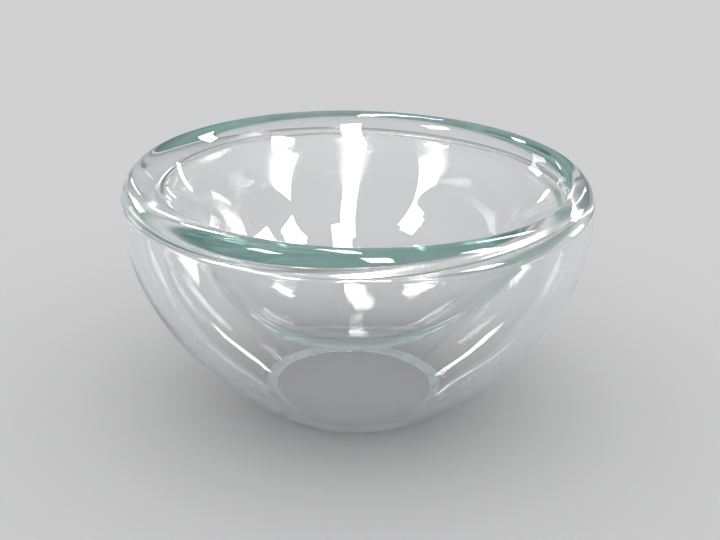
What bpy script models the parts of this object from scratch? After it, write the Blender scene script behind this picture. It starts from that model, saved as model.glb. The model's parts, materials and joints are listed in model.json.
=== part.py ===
"""Double-walled bowl of clear blown glass, for a table or a bench.

An outer shell swells from a ground foot to a rolled rim. There the glass folds
inwards and down into an inner dish, which hangs clear of the table inside the
shell. The hollow between the two walls is open through the middle of the foot.

The zones are modelled as separate solids: foot_ring, outer_shell, rolled_rim
and inner_dish. Metres, +Z up, the origin at the middle of the foot's flat face.
"""

import math

import bpy
from mathutils import Vector

# Driving dimensions, in metres. Radii are measured from the bowl's axis.
WIDEST_RADIUS = 0.155
WIDEST_HEIGHT = 0.141
HEIGHT = 0.160
CREST_RADIUS = 0.143
FOOT_RADIUS = 0.0645
FOOT_OPENING_RADIUS = 0.0540
LIP_RADIUS = 0.1235
FLOOR_HEIGHT = 0.0555

# Thickness of the glass, square to its surface.
SHELL_WALL = 0.0065
DISH_WALL = 0.0065
FLOOR_WALL = 0.0080
CREST_WALL = 0.0140

# The shell leaves the foot at this slope, and stands upright at its widest circle.
FOOT_SLOPE = math.radians(38.0)
FOOT_REACH = 0.020
SHELL_REACH = 0.081

# The dish's wall leaves the lip at this slope, and lies level at its middle.
LIP_SLOPE = math.radians(50.0)
LIP_REACH = 0.055
FLOOR_REACH = 0.090

# How full the rim's curves are: 0.55 is a quarter circle, less is flatter.
RIM_FULLNESS = 0.55
LIP_FULLNESS = 0.50

# The ground foot is this much of the shell's height, and the zones keep this gap.
FOOT_HEIGHT = 0.006
SEAM = 0.0003

# Mesh resolution.
TURNS = 48
FOOT_STEPS = 3
SHELL_STEPS = 10
RIM_STEPS = 4
DISH_STEPS = 10
SEARCH_STEPS = 400
MERGE = 0.00001
SHARP_ANGLE = math.radians(40.0)

GLASS_COLOUR = (0.86, 0.95, 0.94, 1.0)
GLASS_IOR = 1.51
POLISHED = 0.02
GROUND = 0.35

# Places on the section, as radius and height.
FOOT_EDGE = Vector((FOOT_RADIUS, 0.0))
FOOT_OPENING = Vector((FOOT_OPENING_RADIUS, 0.0))
WIDEST = Vector((WIDEST_RADIUS, WIDEST_HEIGHT))
CREST = Vector((CREST_RADIUS, HEIGHT))
LIP = Vector((LIP_RADIUS, WIDEST_HEIGHT))
FLOOR_CENTRE = Vector((0.0, FLOOR_HEIGHT))
INTO_DISH = Vector((-math.cos(LIP_SLOPE), -math.sin(LIP_SLOPE)))
OUT_OF_FOOT = Vector((math.cos(FOOT_SLOPE), math.sin(FOOT_SLOPE)))


def shares(first, last, steps):
    """Evenly spaced values from first to last, with both ends."""
    return [first + (last - first) * step / steps for step in range(steps + 1)]


def curve_point(start, leaving, arriving, end, share):
    """The point a share of the way along a cubic curve, and the curve's direction there."""
    rest = 1.0 - share
    point = (
        start * rest**3
        + leaving * 3.0 * rest**2 * share
        + arriving * 3.0 * rest * share**2
        + end * share**3
    )
    direction = (
        (leaving - start) * rest**2
        + (arriving - leaving) * 2.0 * rest * share
        + (end - arriving) * share**2
    )
    return point, direction.normalized()


def curve(start, leaving, arriving, end, first=0.0, last=1.0, steps=RIM_STEPS):
    """Points along a cubic curve, from one share of it to another."""
    return [
        curve_point(start, leaving, arriving, end, share)[0]
        for share in shares(first, last, steps)
    ]


def across(direction):
    """A quarter turn to the left of a direction."""
    return Vector((-direction.y, direction.x))


def shell_pair(share):
    """The shell's outer point, from the foot up, and the inner point across its wall."""
    leaving = FOOT_EDGE + OUT_OF_FOOT * FOOT_REACH
    arriving = WIDEST - Vector((0.0, SHELL_REACH))
    outer, along = curve_point(FOOT_EDGE, leaving, arriving, WIDEST, share)
    return outer, outer + across(along) * SHELL_WALL


def dish_pair(share):
    """The dish's upper point, from the lip in to the axis, and the point under its wall."""
    leaving = LIP + INTO_DISH * LIP_REACH
    arriving = FLOOR_CENTRE + Vector((FLOOR_REACH, 0.0))
    upper, along = curve_point(LIP, leaving, arriving, FLOOR_CENTRE, share)
    wall = DISH_WALL + (FLOOR_WALL - DISH_WALL) * share
    return upper, upper + across(along) * wall


def ribbon(pairs):
    """A closed outline down the first points of the pairs and back up the second ones."""
    return [first for first, second in pairs] + [second for first, second in reversed(pairs)]


def shell_share_at(height):
    """How far along the shell its outer surface reaches a height."""
    return next(
        share for share in shares(0.0, 1.0, SEARCH_STEPS) if shell_pair(share)[0].y >= height
    )


def foot_ring_profile():
    """The cut foot: down its outside, across the ground face, and up inside the opening."""
    pairs = [shell_pair(share) for share in shares(shell_share_at(FOOT_HEIGHT), 0.0, FOOT_STEPS)]
    outline = ribbon(pairs)
    return outline[: len(pairs)] + [FOOT_OPENING] + outline[len(pairs) :]


def outer_shell_profile():
    """The shell's wall, from the widest circle down to the foot."""
    first = shell_share_at(FOOT_HEIGHT + SEAM)
    return ribbon([shell_pair(share) for share in shares(1.0, first, SHELL_STEPS)])


def rolled_rim_profile():
    """The fold that joins the walls: over its outside, then back under the roof of the hollow."""
    shell_top = shell_pair(1.0)[1]
    dish_top = dish_pair(0.0)[1]
    roof = Vector(((shell_top.x + dish_top.x) / 2.0, HEIGHT - CREST_WALL))
    up = Vector((0.0, 1.0))
    out = Vector((1.0, 0.0))

    def bend(start, start_heading, end, end_heading, fullness):
        """A curve that leaves one point and meets the next along the headings given."""
        reach = fullness * (end - start).length / math.sqrt(2.0)
        return [start, start + start_heading * reach, end - end_heading * reach, end]

    over = (
        curve(*bend(LIP, -INTO_DISH, CREST, out, LIP_FULLNESS))
        + curve(*bend(CREST, out, WIDEST, -up, RIM_FULLNESS))[1:]
    )
    under = (
        curve(*bend(shell_top, up, roof, -out, RIM_FULLNESS))
        + curve(*bend(roof, -out, dish_top, INTO_DISH, RIM_FULLNESS))[1:]
    )
    lift = up * SEAM
    return (
        [over[0] - INTO_DISH * SEAM]
        + over[1:-1]
        + [over[-1] + lift, under[0] + lift]
        + under[1:-1]
        + [under[-1] - INTO_DISH * SEAM]
    )


def inner_dish_profile():
    """The dish, from the middle of its floor up to the lip and back under it to the axis."""
    pairs = [dish_pair(share) for share in shares(1.0, 0.0, DISH_STEPS)]
    return ribbon(pairs)


def glass(name, roughness):
    """Clear glass with the faint blue-green of a soda glass."""
    material = bpy.data.materials.new(name)
    material.use_nodes = True
    shader = material.node_tree.nodes["Principled BSDF"]
    shader.inputs["Base Color"].default_value = GLASS_COLOUR
    shader.inputs["Metallic"].default_value = 0.0
    shader.inputs["Roughness"].default_value = roughness
    shader.inputs["IOR"].default_value = GLASS_IOR
    shader.inputs["Transmission Weight"].default_value = 1.0
    return material


def turn(name, profile, reaches_axis, roughness, collection):
    """Turn a profile about the bowl's axis into one smooth-shaded solid."""
    count = len(profile)
    edges = [(index, index + 1) for index in range(count - 1)]
    if not reaches_axis:
        edges.append((count - 1, 0))
    outline = bpy.data.meshes.new(name + "_profile")
    outline.from_pydata([(point.x, 0.0, point.y) for point in profile], edges, [])
    piece = bpy.data.objects.new(name, outline)
    collection.objects.link(piece)
    screw = piece.modifiers.new("Turn", "SCREW")
    screw.axis = "Z"
    screw.angle = math.tau
    screw.steps = TURNS
    screw.render_steps = TURNS
    screw.use_merge_vertices = True
    screw.merge_threshold = MERGE
    depsgraph = bpy.context.evaluated_depsgraph_get()
    mesh = bpy.data.meshes.new_from_object(piece.evaluated_get(depsgraph))
    piece.modifiers.clear()
    piece.data = mesh
    bpy.data.meshes.remove(outline)
    mesh.name = name
    mesh.shade_smooth()
    mesh.set_sharp_from_angle(angle=SHARP_ANGLE)
    mesh.materials.clear()
    mesh.materials.append(glass(name + "_glass", roughness))
    return piece


def main():
    for leftover in list(bpy.data.objects):
        bpy.data.objects.remove(leftover, do_unlink=True)
    collection = bpy.data.collections.new("double_walled_bowl")
    bpy.context.scene.collection.children.link(collection)
    turn("foot_ring", foot_ring_profile(), False, GROUND, collection)
    turn("outer_shell", outer_shell_profile(), False, POLISHED, collection)
    turn("rolled_rim", rolled_rim_profile(), False, POLISHED, collection)
    turn("inner_dish", inner_dish_profile(), True, POLISHED, collection)


main()
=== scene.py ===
"""The looks of a double-walled bowl of clear blown glass, on a pale floor in soft studio light.

The four packed zones are one continuous body of glass, so one closed mesh stands for
them all: light then bends at the real surfaces only, and the glass's colour deepens
with the length of glass that is looked through. Metres, +Z up. The bowl's front faces -Y,
and its right is +X.
"""

import json
import math

import bmesh
import bpy
import numpy as np
from mathutils import Matrix, Vector


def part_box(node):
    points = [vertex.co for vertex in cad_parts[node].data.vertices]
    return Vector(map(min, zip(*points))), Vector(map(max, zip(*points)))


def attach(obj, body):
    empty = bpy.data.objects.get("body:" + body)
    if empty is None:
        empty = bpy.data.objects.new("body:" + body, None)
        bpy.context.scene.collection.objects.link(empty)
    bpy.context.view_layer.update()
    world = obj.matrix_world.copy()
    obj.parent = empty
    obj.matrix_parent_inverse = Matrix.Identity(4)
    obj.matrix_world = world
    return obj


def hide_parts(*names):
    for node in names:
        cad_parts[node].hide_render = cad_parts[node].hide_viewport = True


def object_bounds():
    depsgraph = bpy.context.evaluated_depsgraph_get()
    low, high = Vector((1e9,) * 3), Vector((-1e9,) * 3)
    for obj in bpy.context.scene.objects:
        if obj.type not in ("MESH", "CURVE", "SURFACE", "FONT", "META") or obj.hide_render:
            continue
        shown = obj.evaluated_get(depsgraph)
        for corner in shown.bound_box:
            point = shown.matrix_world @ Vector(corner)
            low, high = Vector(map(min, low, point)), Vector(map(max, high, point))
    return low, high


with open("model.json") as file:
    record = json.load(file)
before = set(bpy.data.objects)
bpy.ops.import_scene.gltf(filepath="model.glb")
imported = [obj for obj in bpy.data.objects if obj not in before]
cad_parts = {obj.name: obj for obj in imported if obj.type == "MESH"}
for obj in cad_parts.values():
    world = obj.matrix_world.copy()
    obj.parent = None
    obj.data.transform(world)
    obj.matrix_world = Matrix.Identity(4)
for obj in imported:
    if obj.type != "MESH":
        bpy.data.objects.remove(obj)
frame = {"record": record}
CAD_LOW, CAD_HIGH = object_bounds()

# Thickness of the glass, square to its surface, and how far the crest stands in from the side.
SHELL_WALL = 0.0065
DISH_WALL = 0.0065
FLOOR_WALL = 0.0080
CREST_WALL = 0.0140
CREST_INSET = 0.0120
FOOT_WIDTH = 0.0105

# The slopes and the reaches of the section's curves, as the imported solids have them.
FOOT_SLOPE = math.radians(38.0)
FOOT_REACH = 0.020
SHELL_REACH = 0.081
LIP_SLOPE = math.radians(50.0)
LIP_REACH = 0.055
FLOOR_REACH = 0.090
RIM_FULLNESS = 0.55
LIP_FULLNESS = 0.50

# The foot's edges are broken with a stone, so that they don't cut.
BROKEN_EDGE = 0.0008

# The bowl was shaped by hand, so its parts aren't quite round one axis. Each of these is how far
# a level of the glass lies to the right of the axis: the dish's mouth, its floor, the top of the
# hollow's outer side, and the hollow's roof.
MOUTH_DRIFT = 0.006
FLOOR_DRIFT = -0.008
HOLLOW_DRIFT = -0.001
ROOF_DRIFT = (HOLLOW_DRIFT + MOUTH_DRIFT) / 2.0

# How far the two ends of each stretch of the section lie off the axis. The others stay on it.
DRIFTS = {
    "dish_upper": (FLOOR_DRIFT, MOUTH_DRIFT),
    "lip": (MOUTH_DRIFT, 0.0),
    "shell_inner": (0.0, HOLLOW_DRIFT),
    "roof_outer": (HOLLOW_DRIFT, ROOF_DRIFT),
    "roof_inner": (ROOF_DRIFT, MOUTH_DRIFT),
    "dish_under": (MOUTH_DRIFT, FLOOR_DRIFT),
}

# The roof of the hollow slopes down to the left. Its slope is ROOF_TILT on the line through the
# axis from side to side, and grows by ROOF_TWIST for each metre from there to the front.
# TILT_SHARE is how much of the slope the two ends of a stretch take.
ROOF_TILT = 0.018
ROOF_TWIST = 0.25
TILT_SHARE = {"roof_outer": (0.0, 1.0), "roof_inner": (1.0, 0.0)}

# Slow waves round the bowl and faint bands along its section, as heights in the skin. There is
# one wave for each number of lobes, and the more lobes, the lower it is. Each height is drawn at
# random between two shares of the full one. Along the section, no wave is shorter than
# WAVE_LENGTH, and the bands' lengths lie between the two given.
WAVE_SEED = 4
WAVE_COUNT = 9
WAVE_HEIGHT = 0.00012
WAVE_SHARES = (0.4, 1.0)
WAVE_LENGTH = 0.25
BAND_COUNT = 6
BAND_HEIGHT = 0.00002
BAND_SHARES = (0.3, 1.0)
BAND_LENGTHS = (0.03, 0.07)
BAND_MOST_LOBES = 3

# The waves start from nothing at the foot's flat face and at the middle of the dish's floor, and
# come in over this height and this radius. Between two heights they sink to their share at the
# rim.
CALM_FOOT = 0.012
CALM_CENTRE = 0.02
CALM_RIM = (0.105, 0.135)
CALM_RIM_SHARE = 0.25

# How much of the ground finish the two ends of each stretch of the foot have.
GROUND_SHARE = {
    "foot_outer_edge": (0.0, 1.0),
    "foot_face": (1.0, 1.0),
    "foot_inner_edge": (1.0, 0.0),
}

# The roof of the hollow, which can't be reached to polish it, is a little duller. These are the
# shares of that at a stretch's two ends. The glass has none where a share falls below 0.
DULL_SHARE = {
    "roof_outer": (0.0, 1.0),
    "roof_inner": (1.0, 1.0),
    "dish_under": (1.0, -2.0),
}

# Mesh resolution.
TURNS = 384
SIDE_STEPS = 38
RIM_STEPS = 22
FACE_STEPS = 8
EDGE_STEPS = 5

# The glass. Its tint is by absorption, and the density is how strong it is for each metre.
GLASS_IOR = 1.51
GLASS_TINT = (0.35, 0.78, 0.72, 1.0)
TINT_DENSITY = 2.2
POLISHED_COLOUR = (1.0, 1.0, 1.0, 1.0)
GROUND_COLOUR = (0.87, 0.99, 0.97, 1.0)
WIPED_ROUGHNESS = 0.03
DULL_ROUGHNESS = 0.14
GROUND_ROUGHNESS = (0.38, 0.55)

# The ground foot is wholly cloudy, and falls to this share where it is smeared.
SMEARED_CLOUDINESS = 0.70

# Noise in the finish: its scale, its detail, and the two levels between which its share goes
# from 0 to 1. The wiped haze is broad, the smears on the foot finer, the grinding finer still.
WIPED_NOISE = (14.0, 3.0, 0.50, 0.68)
SMEAR_NOISE = (55.0, 4.0, 0.40, 0.66)
GRIND_NOISE = (160.0, 4.0, 0.35, 0.65)
SCRATCH_SCALE = 900.0
SCRATCH_DETAIL = 3.0
SCRATCH_DEPTH = 0.0001

# The floor lies a hair under the foot, so that the two faces don't share one plane.
FLOOR_SIZE = 16.0
FLOOR_GAP = 0.0002
FLOOR_COLOUR = (0.38, 0.38, 0.383, 1.0)
FLOOR_ROUGHNESS = 0.9
FLOOR_SHINE = 0.1

# The dome that the polished glass mirrors has one colour at the horizon and below it, and
# another from DOME_HIGH_AT up, as a height on a dome of radius 1. DOME_LIGHT is what lights the
# floor and the ground foot, and BACKDROP is what the camera sees past the floor.
DOME_LOW = (0.18, 0.18, 0.185, 1.0)
DOME_HIGH = (0.60, 0.60, 0.60, 1.0)
DOME_HIGH_AT = 0.6
DOME_LIGHT = (1.65, 1.65, 1.66, 1.0)
BACKDROP = (0.62, 0.62, 0.625, 1.0)

# Soft boxes: azimuth from the front to the right and elevation above level, in degrees, then
# distance, width and length, in metres, and radiance. An elevation over 90 leans past the top.
SOFTBOXES = {
    "overhead_strip": (13.0, 55.5, 2.0, 0.32, 0.76, 34.0),
    "overhead_bar": (5.0, 113.0, 2.0, 0.14, 1.00, 30.0),
    "right_panel": (72.0, 45.0, 2.2, 0.42, 0.74, 30.0),
    "left_panel": (-57.0, 53.0, 2.2, 0.40, 0.36, 30.0),
}

# These stand at the right as given, and once more at the left.
PAIRED_SOFTBOXES = {
    "rim_light": (146.0, 47.5, 2.2, 0.70, 0.16, 30.0),
    "side_card": (126.0, 14.0, 2.2, 0.50, 0.40, 6.0),
    "streak_light": (151.0, 20.0, 2.2, 0.10, 0.50, 12.0),
}

# Deeper in the glass than this many bounces, a soft box would only show as specks in the rim.
# A count of bounces is compared with a half, to tell none from one or more.
SOFTBOX_DEPTH = 9.5
ONE_OR_MORE = 0.5

# Light runs along inside the thick glass for many bounces before it leaves.
LIGHT_BOUNCES = 64

# The camera: its lens in millimetres, where it stands seen from a point above the middle of the
# foot, and how it is turned from looking straight at that point. The distance and the point's
# height are in widest radii, and the angles are in degrees.
LENS = 70.88
SENSOR_WIDTH = 36.0
NEAREST = 0.01
VIEW_DISTANCE = 6.202
VIEW_HEIGHT = 0.5
VIEW_ELEVATION = 22.68
VIEW_PITCH = -0.66
VIEW_YAW = 0.14
VIEW_ROLL = 1.25


def place(radius, height):
    """A place on the section."""
    return np.array((radius, height))


def heading(angle):
    """A direction on the section, as an angle above level."""
    return place(math.cos(angle), math.sin(angle))


def cubic(start, leaving, arriving, end, steps):
    """Points along a cubic curve, and its direction at each."""
    share = np.linspace(0.0, 1.0, steps + 1)[:, None]
    rest = 1.0 - share
    points = (
        start * rest**3
        + leaving * 3.0 * rest**2 * share
        + arriving * 3.0 * rest * share**2
        + end * share**3
    )
    along = (
        (leaving - start) * rest**2
        + (arriving - leaving) * 2.0 * rest * share
        + (end - arriving) * share**2
    )
    return points, along / np.linalg.norm(along, axis=1)[:, None]


def bend(start, start_heading, end, end_heading, fullness):
    """Points on a curve that leaves one place and meets the next along the headings given."""
    reach = fullness * np.linalg.norm(end - start) / math.sqrt(2.0)
    leaving = start + start_heading * reach
    arriving = end - end_heading * reach
    return cubic(start, leaving, arriving, end, RIM_STEPS)[0]


def across(along):
    """A quarter turn to the left of each direction."""
    return np.stack((-along[:, 1], along[:, 0]), axis=1)


def broken_corner(before, corner, after):
    """A corner worn to a small curve that starts and ends a short way along its two sides."""
    start = corner + (before - corner) / np.linalg.norm(before - corner) * BROKEN_EDGE
    end = corner + (after - corner) / np.linalg.norm(after - corner) * BROKEN_EDGE
    leaving = (start + 2.0 * corner) / 3.0
    arriving = (end + 2.0 * corner) / 3.0
    return cubic(start, leaving, arriving, end, EDGE_STEPS)[0]


def section():
    """The glass's whole section, as named stretches from the middle of the dish's floor round
    to the middle of its underside. Each stretch is an array of radius and height."""
    widest_radius = CAD_HIGH.x
    widest_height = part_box("outer_shell")[1].z
    dish_low, dish_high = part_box("inner_dish")
    foot_middle = frame["record"]["mounts"][0]["pos_m"][0]

    widest = place(widest_radius, widest_height)
    crest = place(widest_radius - CREST_INSET, CAD_HIGH.z)
    lip = place(dish_high.x - DISH_WALL * math.sin(LIP_SLOPE), widest_height)
    floor_centre = place(0.0, dish_low.z + FLOOR_WALL)
    foot_edge = place(foot_middle + FOOT_WIDTH / 2.0, 0.0)
    foot_opening = place(foot_middle - FOOT_WIDTH / 2.0, 0.0)
    into_dish = heading(math.pi + LIP_SLOPE)
    up = place(0.0, 1.0)
    out = place(1.0, 0.0)

    shell_outer, along = cubic(
        foot_edge,
        foot_edge + heading(FOOT_SLOPE) * FOOT_REACH,
        widest - up * SHELL_REACH,
        widest,
        SIDE_STEPS,
    )
    shell_inner = shell_outer + across(along) * SHELL_WALL

    dish_upper, along = cubic(
        lip,
        lip + into_dish * LIP_REACH,
        floor_centre + out * FLOOR_REACH,
        floor_centre,
        SIDE_STEPS,
    )
    wall = np.linspace(DISH_WALL, FLOOR_WALL, SIDE_STEPS + 1)[:, None]
    dish_under = dish_upper + across(along) * wall

    shell_top = shell_inner[-1]
    dish_top = dish_under[0]
    roof = place((shell_top[0] + dish_top[0]) / 2.0, CAD_HIGH.z - CREST_WALL)
    face_share = np.linspace(0.0, 1.0, FACE_STEPS + 1)[1:-1, None]
    outer_corner = broken_corner(shell_outer[1], foot_edge, foot_opening)
    inner_corner = broken_corner(foot_edge, foot_opening, shell_inner[1])
    face = outer_corner[-1] * (1.0 - face_share) + inner_corner[0] * face_share
    return {
        "dish_upper": dish_upper[::-1],
        "lip": bend(lip, -into_dish, crest, out, LIP_FULLNESS)[1:],
        "shoulder": bend(crest, out, widest, -up, RIM_FULLNESS)[1:],
        "shell_outer": shell_outer[-2:0:-1],
        "foot_outer_edge": outer_corner,
        "foot_face": face,
        "foot_inner_edge": inner_corner,
        "shell_inner": shell_inner[1:],
        "roof_outer": bend(shell_top, up, roof, -out, RIM_FULLNESS)[1:],
        "roof_inner": bend(roof, -out, dish_top, into_dish, RIM_FULLNESS)[1:],
        "dish_under": dish_under[1:],
    }


def smooth_share(value, low, high):
    """0 below low, 1 above high, and an even ease between them."""
    share = np.clip((value - low) / (high - low), 0.0, 1.0)
    return share * share * (3.0 - 2.0 * share)


def eased(stretches, ends):
    """A value at each point of the section, which eases from one end of a stretch to the other."""
    levels = []
    for name, points in stretches.items():
        first, last = ends.get(name, (0.0, 0.0))
        share = smooth_share(np.linspace(0.0, 1.0, len(points)), 0.0, 1.0)
        levels.append(first + (last - first) * share)
    return np.concatenate(levels)[:, None]


def outward(outline):
    """The direction out of the glass at each point of the section."""
    along = np.gradient(outline, axis=0)
    along /= np.linalg.norm(along, axis=1)[:, None]
    return across(along)


def waves(outline, angle):
    """How far the glass swells or sinks at each point of each ring, as hand-shaped glass does."""
    draw = np.random.default_rng(WAVE_SEED)
    step = np.linalg.norm(np.diff(outline, axis=0, prepend=outline[:1]), axis=1)
    travel = np.cumsum(step)[:, None]
    swell = np.zeros((len(outline), len(angle)))
    for lobes in range(1, WAVE_COUNT + 1):
        size = WAVE_HEIGHT / lobes * draw.uniform(*WAVE_SHARES)
        slant = draw.uniform(-1.0, 1.0) * math.tau / WAVE_LENGTH
        swell += size * np.sin(lobes * angle + slant * travel + draw.uniform(0.0, math.tau))
    for _ in range(BAND_COUNT):
        size = BAND_HEIGHT * draw.uniform(*BAND_SHARES)
        turn = math.tau / draw.uniform(*BAND_LENGTHS)
        lobes = draw.integers(0, BAND_MOST_LOBES + 1)
        swell += size * np.sin(lobes * angle + turn * travel + draw.uniform(0.0, math.tau))
    radius, height = outline.T
    calm = smooth_share(height, 0.0, CALM_FOOT) * smooth_share(radius, 0.0, CALM_CENTRE)
    calm *= 1.0 - (1.0 - CALM_RIM_SHARE) * smooth_share(height, *CALM_RIM)
    return swell * calm[:, None]


def mark(mesh, attribute_name, stretches, shares):
    """Give each point of the body the share that its stretch of the section has. The two poles
    come first in the mesh, and have none."""
    ramps = []
    for name, points in stretches.items():
        first, last = shares.get(name, (0.0, 0.0))
        ramps.append(np.linspace(first, last, len(points)))
    rings = np.concatenate(ramps).clip(0.0)[1:-1]
    values = np.concatenate(([0.0, 0.0], np.repeat(rings, TURNS)))
    mesh.attributes.new(attribute_name, "FLOAT", "POINT").data.foreach_set("value", values)


def turned_glass(name):
    """The section turned about the bowl's axis into one closed body."""
    stretches = section()
    outline = np.concatenate(list(stretches.values()))
    angle = np.arange(TURNS) * math.tau / TURNS
    swell = waves(outline, angle)
    away = outward(outline)
    radius = outline[:, :1] + away[:, :1] * swell
    x = radius * np.cos(angle) + eased(stretches, DRIFTS)
    y = radius * np.sin(angle)
    tilt = eased(stretches, TILT_SHARE) * x * (ROOF_TILT - ROOF_TWIST * y)
    z = outline[:, 1:] + away[:, 1:] * swell + tilt
    rings = np.stack((x, y, z), axis=2)

    shape = bmesh.new()
    first_pole = shape.verts.new(rings[0, 0])
    last_pole = shape.verts.new(rings[-1, 0])
    ring_verts = [[shape.verts.new(point) for point in ring] for ring in rings[1:-1]]
    for turn in range(TURNS):
        after = (turn + 1) % TURNS
        shape.faces.new((first_pole, ring_verts[0][turn], ring_verts[0][after]))
        shape.faces.new((last_pole, ring_verts[-1][after], ring_verts[-1][turn]))
        for ring, beyond in zip(ring_verts, ring_verts[1:]):
            shape.faces.new((ring[turn], beyond[turn], beyond[after], ring[after]))
    mesh = bpy.data.meshes.new(name)
    shape.to_mesh(mesh)
    shape.free()
    mesh.shade_smooth()
    mark(mesh, "ground", stretches, GROUND_SHARE)
    mark(mesh, "dull", stretches, DULL_SHARE)
    piece = bpy.data.objects.new(name, mesh)
    bpy.context.scene.collection.objects.link(piece)
    return piece


def marked(tree, attribute_name):
    """The share that each point of the body was given."""
    node = tree.nodes.new("ShaderNodeAttribute")
    node.attribute_name = attribute_name
    return node.outputs["Fac"]


def mixed(tree, low, high, share):
    """A number that goes from low to high with a share made by other nodes."""
    node = tree.nodes.new("ShaderNodeMapRange")
    node.inputs["To Min"].default_value = low
    node.inputs["To Max"].default_value = high
    tree.links.new(share, node.inputs["Value"])
    return node.outputs["Result"]


def noise(tree, position, scale, detail):
    """Noise between 0 and 1, mostly near a half."""
    node = tree.nodes.new("ShaderNodeTexNoise")
    node.inputs["Scale"].default_value = scale
    node.inputs["Detail"].default_value = detail
    tree.links.new(position, node.inputs["Vector"])
    return node.outputs["Fac"]


def noise_share(tree, position, scale, detail, low, high):
    """A soft blotchy share: 0 where the noise is below low, and 1 where it is above high."""
    step = tree.nodes.new("ShaderNodeMapRange")
    step.interpolation_type = "SMOOTHSTEP"
    step.inputs["From Min"].default_value = low
    step.inputs["From Max"].default_value = high
    tree.links.new(noise(tree, position, scale, detail), step.inputs["Value"])
    return step.outputs["Result"]


def calculated(tree, operation, first, second):
    """One sum on two shares, or on a share and a number."""
    node = tree.nodes.new("ShaderNodeMath")
    node.operation = operation
    for socket, value in zip(node.inputs, (first, second)):
        if isinstance(value, float):
            socket.default_value = value
        else:
            tree.links.new(value, socket)
    return node.outputs["Value"]


def blended(tree, first, second, share):
    """A colour that goes from the first to the second with a share made by other nodes."""
    node = tree.nodes.new("ShaderNodeMix")
    node.data_type = "RGBA"
    for name, value in (("A", first), ("B", second)):
        if isinstance(value, tuple):
            node.inputs[name].default_value = value
        else:
            tree.links.new(value, node.inputs[name])
    tree.links.new(share, node.inputs["Factor"])
    return node.outputs["Result"]


def glass_material():
    """Clear soda glass with a faint blue-green. Its foot is ground, and its skin is a little hazy
    where it has been wiped."""
    material = bpy.data.materials.new("blown_glass")
    material.use_nodes = True
    tree = material.node_tree
    shader = tree.nodes["Principled BSDF"]
    shader.inputs["IOR"].default_value = GLASS_IOR

    ground = marked(tree, "ground")
    position = tree.nodes.new("ShaderNodeTexCoord").outputs["Object"]

    wiped = mixed(tree, 0.0, WIPED_ROUGHNESS, noise_share(tree, position, *WIPED_NOISE))
    dull = mixed(tree, 0.0, DULL_ROUGHNESS, marked(tree, "dull"))
    roughness = tree.nodes.new("ShaderNodeMix")
    tree.links.new(ground, roughness.inputs["Factor"])
    tree.links.new(calculated(tree, "ADD", wiped, dull), roughness.inputs["A"])
    grind = mixed(tree, *GROUND_ROUGHNESS, noise_share(tree, position, *GRIND_NOISE))
    tree.links.new(grind, roughness.inputs["B"])
    tree.links.new(roughness.outputs["Result"], shader.inputs["Roughness"])

    smears = noise_share(tree, position, *SMEAR_NOISE)
    cloudy = calculated(tree, "MULTIPLY", ground, mixed(tree, 1.0, SMEARED_CLOUDINESS, smears))
    tree.links.new(mixed(tree, 1.0, 0.0, cloudy), shader.inputs["Transmission Weight"])
    colour = blended(tree, POLISHED_COLOUR, GROUND_COLOUR, ground)
    tree.links.new(colour, shader.inputs["Base Color"])

    bump = tree.nodes.new("ShaderNodeBump")
    bump.inputs["Distance"].default_value = SCRATCH_DEPTH
    tree.links.new(ground, bump.inputs["Strength"])
    scratches = noise(tree, position, SCRATCH_SCALE, SCRATCH_DETAIL)
    tree.links.new(scratches, bump.inputs["Height"])
    tree.links.new(bump.outputs["Normal"], shader.inputs["Normal"])

    tint = tree.nodes.new("ShaderNodeVolumeAbsorption")
    tint.inputs["Color"].default_value = GLASS_TINT
    tint.inputs["Density"].default_value = TINT_DENSITY
    tree.links.new(tint.outputs["Volume"], tree.nodes["Material Output"].inputs["Volume"])
    return material


def floor():
    """A plain, pale and matt floor."""
    bpy.ops.mesh.primitive_plane_add(size=FLOOR_SIZE, location=(0.0, 0.0, -FLOOR_GAP))
    ground = bpy.context.object
    ground.name = "floor"
    material = bpy.data.materials.new("floor_paper")
    material.use_nodes = True
    shader = material.node_tree.nodes["Principled BSDF"]
    shader.inputs["Base Color"].default_value = FLOOR_COLOUR
    shader.inputs["Roughness"].default_value = FLOOR_ROUGHNESS
    shader.inputs["Specular IOR Level"].default_value = FLOOR_SHINE
    ground.data.materials.append(material)


def softbox(name, azimuth, elevation, distance, width, length, radiance):
    """A soft light that shows as a highlight in the glass, and doesn't light the floor."""
    turn = math.radians(azimuth)
    rise = math.radians(elevation)
    front = -math.cos(turn) * math.cos(rise)
    direction = Vector((math.sin(turn) * math.cos(rise), front, math.sin(rise)))
    light = bpy.data.lights.new(name, "AREA")
    light.shape = "RECTANGLE"
    light.size = width
    light.size_y = length
    light.energy = radiance * math.pi * width * length
    lamp = bpy.data.objects.new(name, light)
    bpy.context.scene.collection.objects.link(lamp)
    lamp.location = direction * distance
    lamp.rotation_euler = direction.to_track_quat("Z", "Y").to_euler()
    lamp.visible_diffuse = False
    light.use_nodes = True
    tree = light.node_tree
    path = tree.nodes.new("ShaderNodeLightPath")
    off_the_floor = calculated(tree, "LESS_THAN", path.outputs["Diffuse Depth"], ONE_OR_MORE)
    near_the_skin = calculated(tree, "LESS_THAN", path.outputs["Ray Depth"], SOFTBOX_DEPTH)
    shown = calculated(tree, "MULTIPLY", off_the_floor, near_the_skin)
    tree.links.new(shown, tree.nodes["Emission"].inputs["Strength"])


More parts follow.
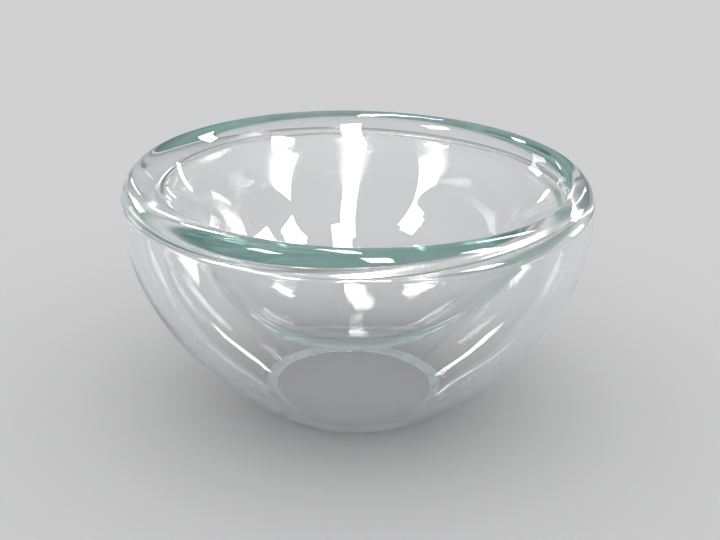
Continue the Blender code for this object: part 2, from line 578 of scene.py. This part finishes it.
def dome():
    """A pale dome lights the floor and the ground foot. What the polished glass mirrors and bends
    is dimmer and darker near the floor, as with cards round a table, so that the glass isn't
    washed out."""
    world = bpy.data.worlds.new("studio")
    bpy.context.scene.world = world
    world.use_nodes = True
    # Then the dome is met only by rays that bounce into it, and these have counted their bounces.
    world.cycles.sampling_method = "NONE"
    tree = world.node_tree
    where = tree.nodes.new("ShaderNodeTexCoord")
    split = tree.nodes.new("ShaderNodeSeparateXYZ")
    tree.links.new(where.outputs["Generated"], split.inputs[0])
    ramp = tree.nodes.new("ShaderNodeValToRGB")
    tree.links.new(split.outputs["Z"], ramp.inputs["Fac"])
    low, high = ramp.color_ramp.elements
    low.color = DOME_LOW
    high.position = DOME_HIGH_AT
    high.color = DOME_HIGH
    path = tree.nodes.new("ShaderNodeLightPath")
    matt = calculated(tree, "GREATER_THAN", path.outputs["Diffuse Depth"], ONE_OR_MORE)
    colour = blended(tree, ramp.outputs["Color"], DOME_LIGHT, matt)
    colour = blended(tree, colour, BACKDROP, path.outputs["Is Camera Ray"])
    tree.links.new(colour, tree.nodes["Background"].inputs["Color"])


def studio():
    """The dome and the soft boxes."""
    dome()
    for name, setting in SOFTBOXES.items():
        softbox(name, *setting)
    for side, tag in ((1.0, "right"), (-1.0, "left")):
        for name, (azimuth, *setting) in PAIRED_SOFTBOXES.items():
            softbox(f"{tag}_{name}", azimuth * side, *setting)


def camera():
    """The camera stands in front of the bowl and looks down on it."""
    view = bpy.data.cameras.new("camera")
    view.lens = LENS
    view.sensor_width = SENSOR_WIDTH
    view.clip_start = NEAREST
    eye = bpy.data.objects.new("camera", view)
    bpy.context.scene.collection.objects.link(eye)
    elevation = math.radians(VIEW_ELEVATION)
    yaw = math.radians(VIEW_YAW)
    roll = math.radians(VIEW_ROLL)
    dip = elevation + math.radians(VIEW_PITCH)
    back = Vector((0.0, -math.cos(elevation), math.sin(elevation)))
    middle = Vector((0.0, 0.0, VIEW_HEIGHT * CAD_HIGH.x))
    ahead = Vector((math.sin(yaw) * math.cos(dip), math.cos(yaw) * math.cos(dip), -math.sin(dip)))
    right = Vector((math.cos(yaw), -math.sin(yaw), 0.0))
    up = right.cross(ahead)
    rolled_right = right * math.cos(roll) + up * math.sin(roll)
    rolled_up = up * math.cos(roll) - right * math.sin(roll)
    stance = Matrix((rolled_right, rolled_up, -ahead)).transposed().to_4x4()
    stance.translation = middle + back * (VIEW_DISTANCE * CAD_HIGH.x)
    eye.matrix_world = stance
    bpy.context.scene.camera = eye


def light_paths():
    """Long light paths, with no limit on how bright a late highlight may be."""
    paths = bpy.context.scene.cycles
    paths.max_bounces = LIGHT_BOUNCES
    paths.transmission_bounces = LIGHT_BOUNCES
    paths.glossy_bounces = LIGHT_BOUNCES
    paths.sample_clamp_indirect = 0.0
    bpy.context.scene.view_settings.view_transform = "Standard"


camera()
floor()
studio()
light_paths()
body = turned_glass("glass_body")
body.data.materials.append(glass_material())
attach(body, "root")
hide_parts("foot_ring", "outer_shell", "rolled_rim", "inner_dish")
